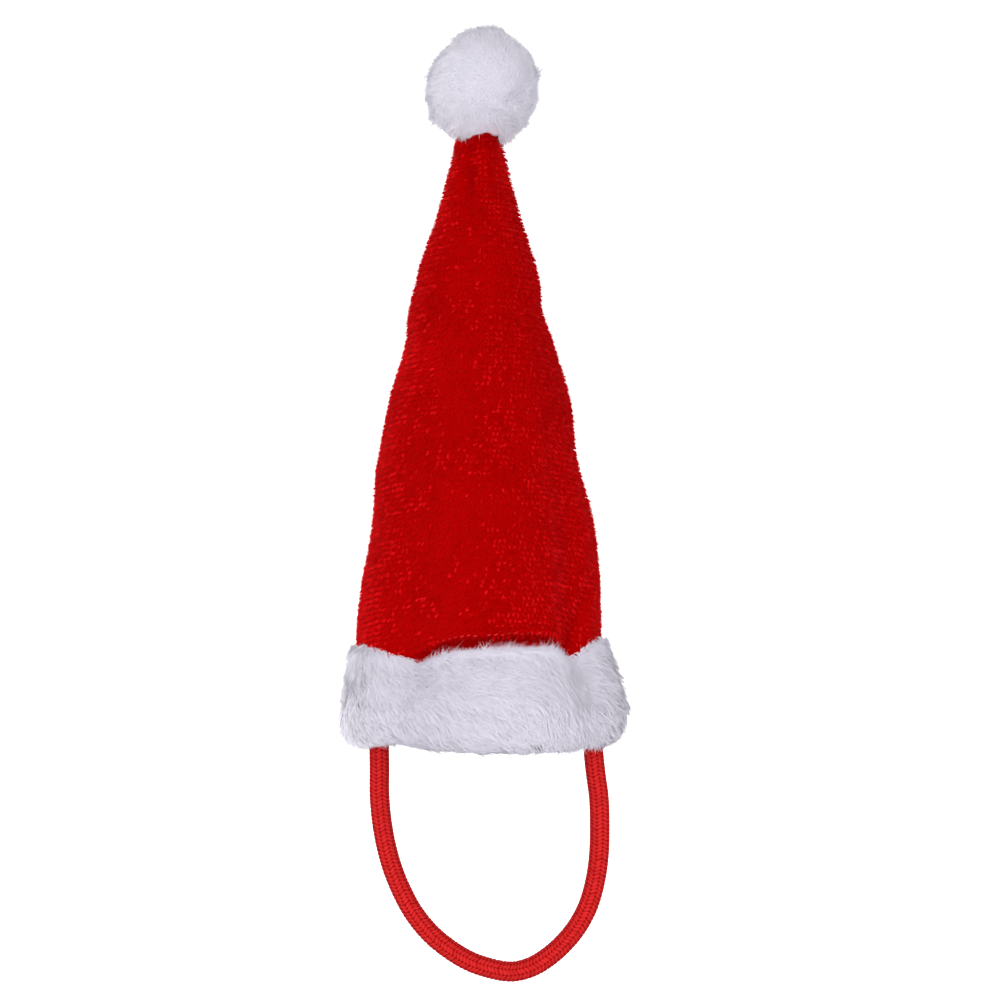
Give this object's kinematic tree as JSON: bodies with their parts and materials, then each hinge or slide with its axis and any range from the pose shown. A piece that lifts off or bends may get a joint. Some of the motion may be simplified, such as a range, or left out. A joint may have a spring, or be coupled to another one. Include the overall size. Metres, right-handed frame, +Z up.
{
  "type": "santa hat",
  "caption": "Small pet-size santa hat: a hollow red plush cone with a white fur band and pompom, worn on the head and held by a loop of red elastic cord.",
  "frame": {"origin": "middle of the rim, where the head goes in", "axes": "+Z up along the crown towards the pompom, -Y to the front, +X to the right seen from the front"},
  "size_m": [0.0732, 0.0537, 0.2378],
  "materials": {
    "red_plush": "short-pile plush, mottled nap",
    "band_fur": "soft white fur, combed to one side",
    "pompom_fur": "soft white fur, swirled",
    "red_elastic": "braided elastic, satin"
  },
  "bodies": {
    "root": {"crown": "red_plush", "fur_band": "band_fur", "pompom": "pompom_fur", "chin_cord": "red_elastic"}
  },
  "joints": []
}
